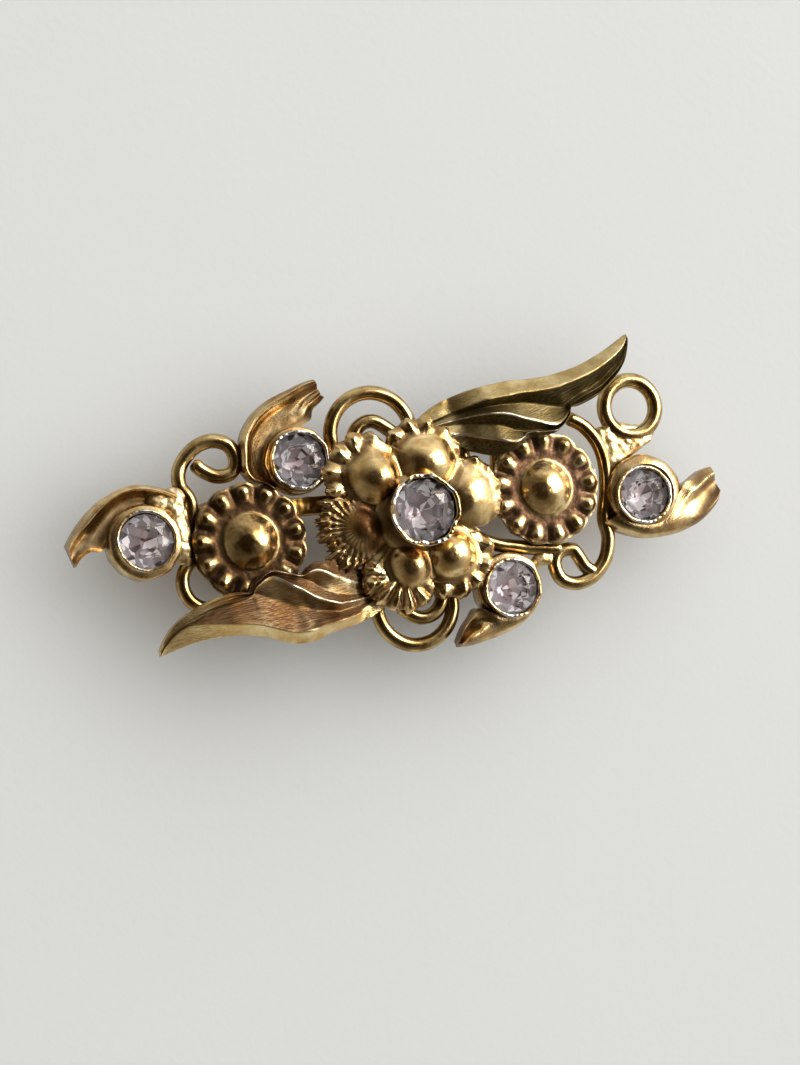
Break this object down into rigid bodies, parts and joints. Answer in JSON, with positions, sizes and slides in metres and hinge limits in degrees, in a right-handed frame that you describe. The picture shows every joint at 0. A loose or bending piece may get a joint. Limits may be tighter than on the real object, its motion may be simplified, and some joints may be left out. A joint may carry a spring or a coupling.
{
  "type": "rhinestone brooch",
  "caption": "Gilt brass bar brooch: soldered wire scrolls and cast horns round cup-set clear rhinestones, with beaded flowers, a petalled middle flower and folded leaves, on a bar pin.",
  "frame": {"origin": "under the middle of the whole brooch, on the surface that it lies on", "axes": "+Z out of the brooch's face, +X along its length, +Y to its upper long edge"},
  "size_m": [0.0586, 0.0256, 0.0116],
  "materials": {
    "gilt_frame": "polished gilt, darkened in the hollows",
    "gilt_flower": "polished gilt casting, darkened between the beads",
    "satin_gilt": "satin gilt with lengthwise brush lines",
    "pin_brass": "plain drawn brass",
    "glass": "clear cut glass, backed by its metal cup"
  },
  "bodies": {
    "root": {"bar_pin": "pin_brass", "scroll_frame": "gilt_frame", "leaf_upper": "satin_gilt", "leaf_lower": "satin_gilt", "flower_left": "gilt_flower", "flower_right": "gilt_flower", "flower_centre": "gilt_flower", "stone_left": "glass", "stone_upper_left": "glass", "stone_lower_right": "glass", "stone_right": "glass", "stone_centre": "glass"}
  },
  "joints": []
}
